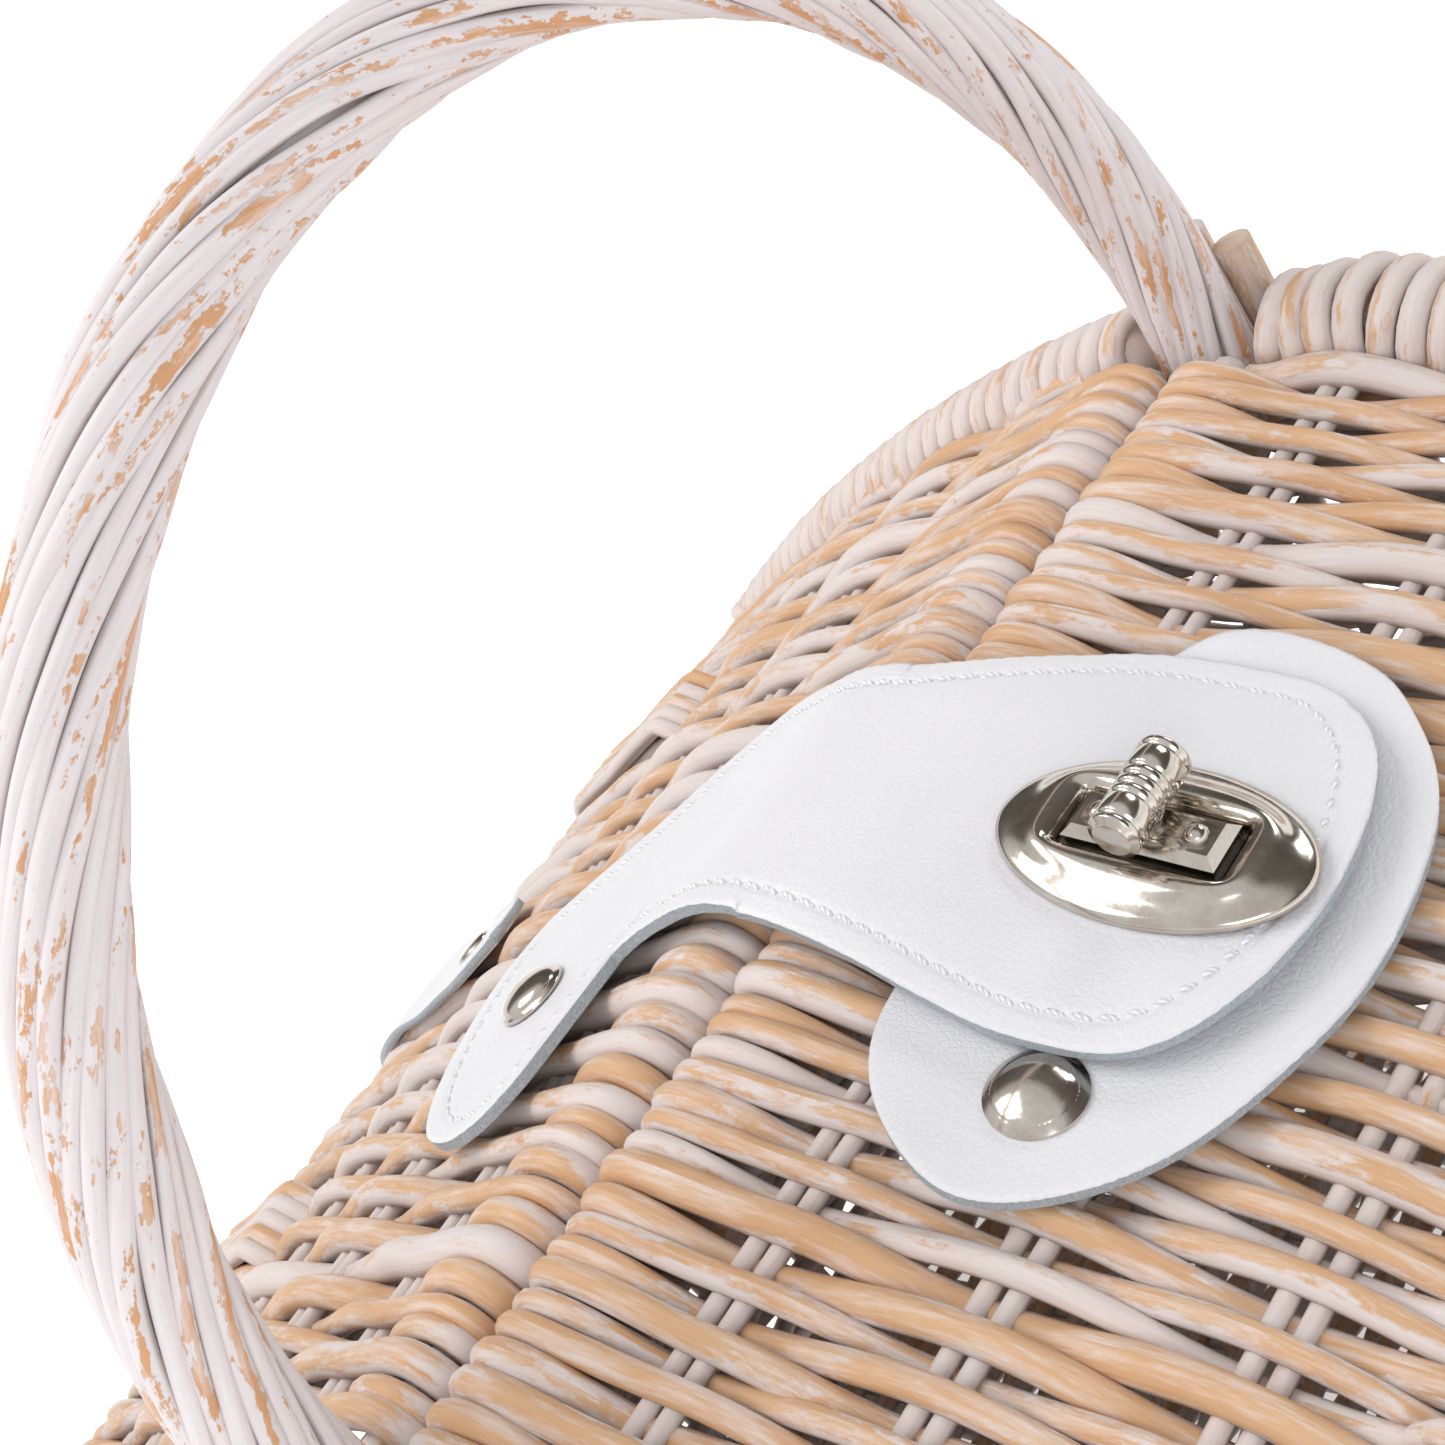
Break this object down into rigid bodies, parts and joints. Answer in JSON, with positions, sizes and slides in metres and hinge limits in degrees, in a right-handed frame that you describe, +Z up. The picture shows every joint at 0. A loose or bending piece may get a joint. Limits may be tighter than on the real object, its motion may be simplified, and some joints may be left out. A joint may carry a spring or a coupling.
{
  "type": "wicker picnic basket",
  "caption": "Small white-washed willow basket with two arched lids, a fixed hoop handle and a leather strap with a metal turn lock.",
  "frame": {"origin": "centre of the base, on the surface it stands on", "axes": "+X across the seam towards the lid with the lock, +Y along the seam, +Z up"},
  "size_m": [0.293, 0.2346, 0.2868],
  "materials": {
    "willow_body": "white-washed peeled willow, matt",
    "willow_lid": "white-washed peeled willow, rubbed back to honey on the crests",
    "willow_sticks": "white-washed willow sticks",
    "willow_handle": "heavily white-washed willow rods with bare streaks",
    "white_leather": "white grained leather with raw grey edges",
    "nickel": "polished nickel plate"
  },
  "bodies": {
    "basket": {"foot_rim": "willow_body", "base_sticks": "willow_sticks", "base_weave": "willow_body", "side_stakes": "willow_sticks", "side_weave": "willow_body", "rim_border": "willow_body", "handle_bow": "willow_handle", "handle_wrap": "willow_handle", "handle_pegs": "willow_body", "left_hinge_wall_leaf": "white_leather", "left_hinge_wall_rivet": "nickel", "right_hinge_wall_leaf": "white_leather", "right_hinge_wall_rivet": "nickel"},
    "left_lid": {"left_lid_frame": "willow_lid", "left_lid_ribs": "willow_sticks", "left_lid_weave": "willow_lid", "left_lid_borders": "willow_lid", "left_lid_bindings": "willow_sticks", "strap_tail": "white_leather", "strap_rivet": "nickel", "left_hinge_lid_leaf": "white_leather", "left_hinge_lid_rivet": "nickel"},
    "right_lid": {"right_lid_frame": "willow_lid", "right_lid_ribs": "willow_sticks", "right_lid_weave": "willow_lid", "right_lid_borders": "willow_lid", "right_lid_bindings": "willow_sticks", "lock_patch": "white_leather", "patch_rivets": "nickel", "lock_base": "nickel", "lock_backplate": "nickel", "right_hinge_lid_leaf": "white_leather", "right_hinge_lid_rivet": "nickel"},
    "strap": {"strap_pad": "white_leather", "eyelet_plate": "nickel", "prong_washers": "nickel"},
    "turn_bar": {"turn_bar": "nickel"}
  },
  "joints": [
    {"name": "left_lid_hinge", "type": "hinge", "parent": "basket", "child": "left_lid", "pos_m": [-0.1464, 0, 0.093], "axis": [0, -1, 0], "range_deg": [0, 100]},
    {"name": "right_lid_hinge", "type": "hinge", "parent": "basket", "child": "right_lid", "pos_m": [0.1464, 0, 0.093], "axis": [0, 1, 0], "range_deg": [0, 100]},
    {"name": "strap_fold", "type": "hinge", "parent": "left_lid", "child": "strap", "pos_m": [-0.001, 0, 0.1715], "axis": [0, -1, 0], "range_deg": [0, 150]},
    {"name": "bar_turn", "type": "hinge", "parent": "right_lid", "child": "turn_bar", "pos_m": [0.05, 0, 0.15402], "axis": [0.2884, 0, 0.9575], "range_deg": [0, 90]}
  ],
  "couplings": [
    {"joint": "right_lid_hinge", "follows": "left_lid_hinge", "ratio": 1}
  ]
}
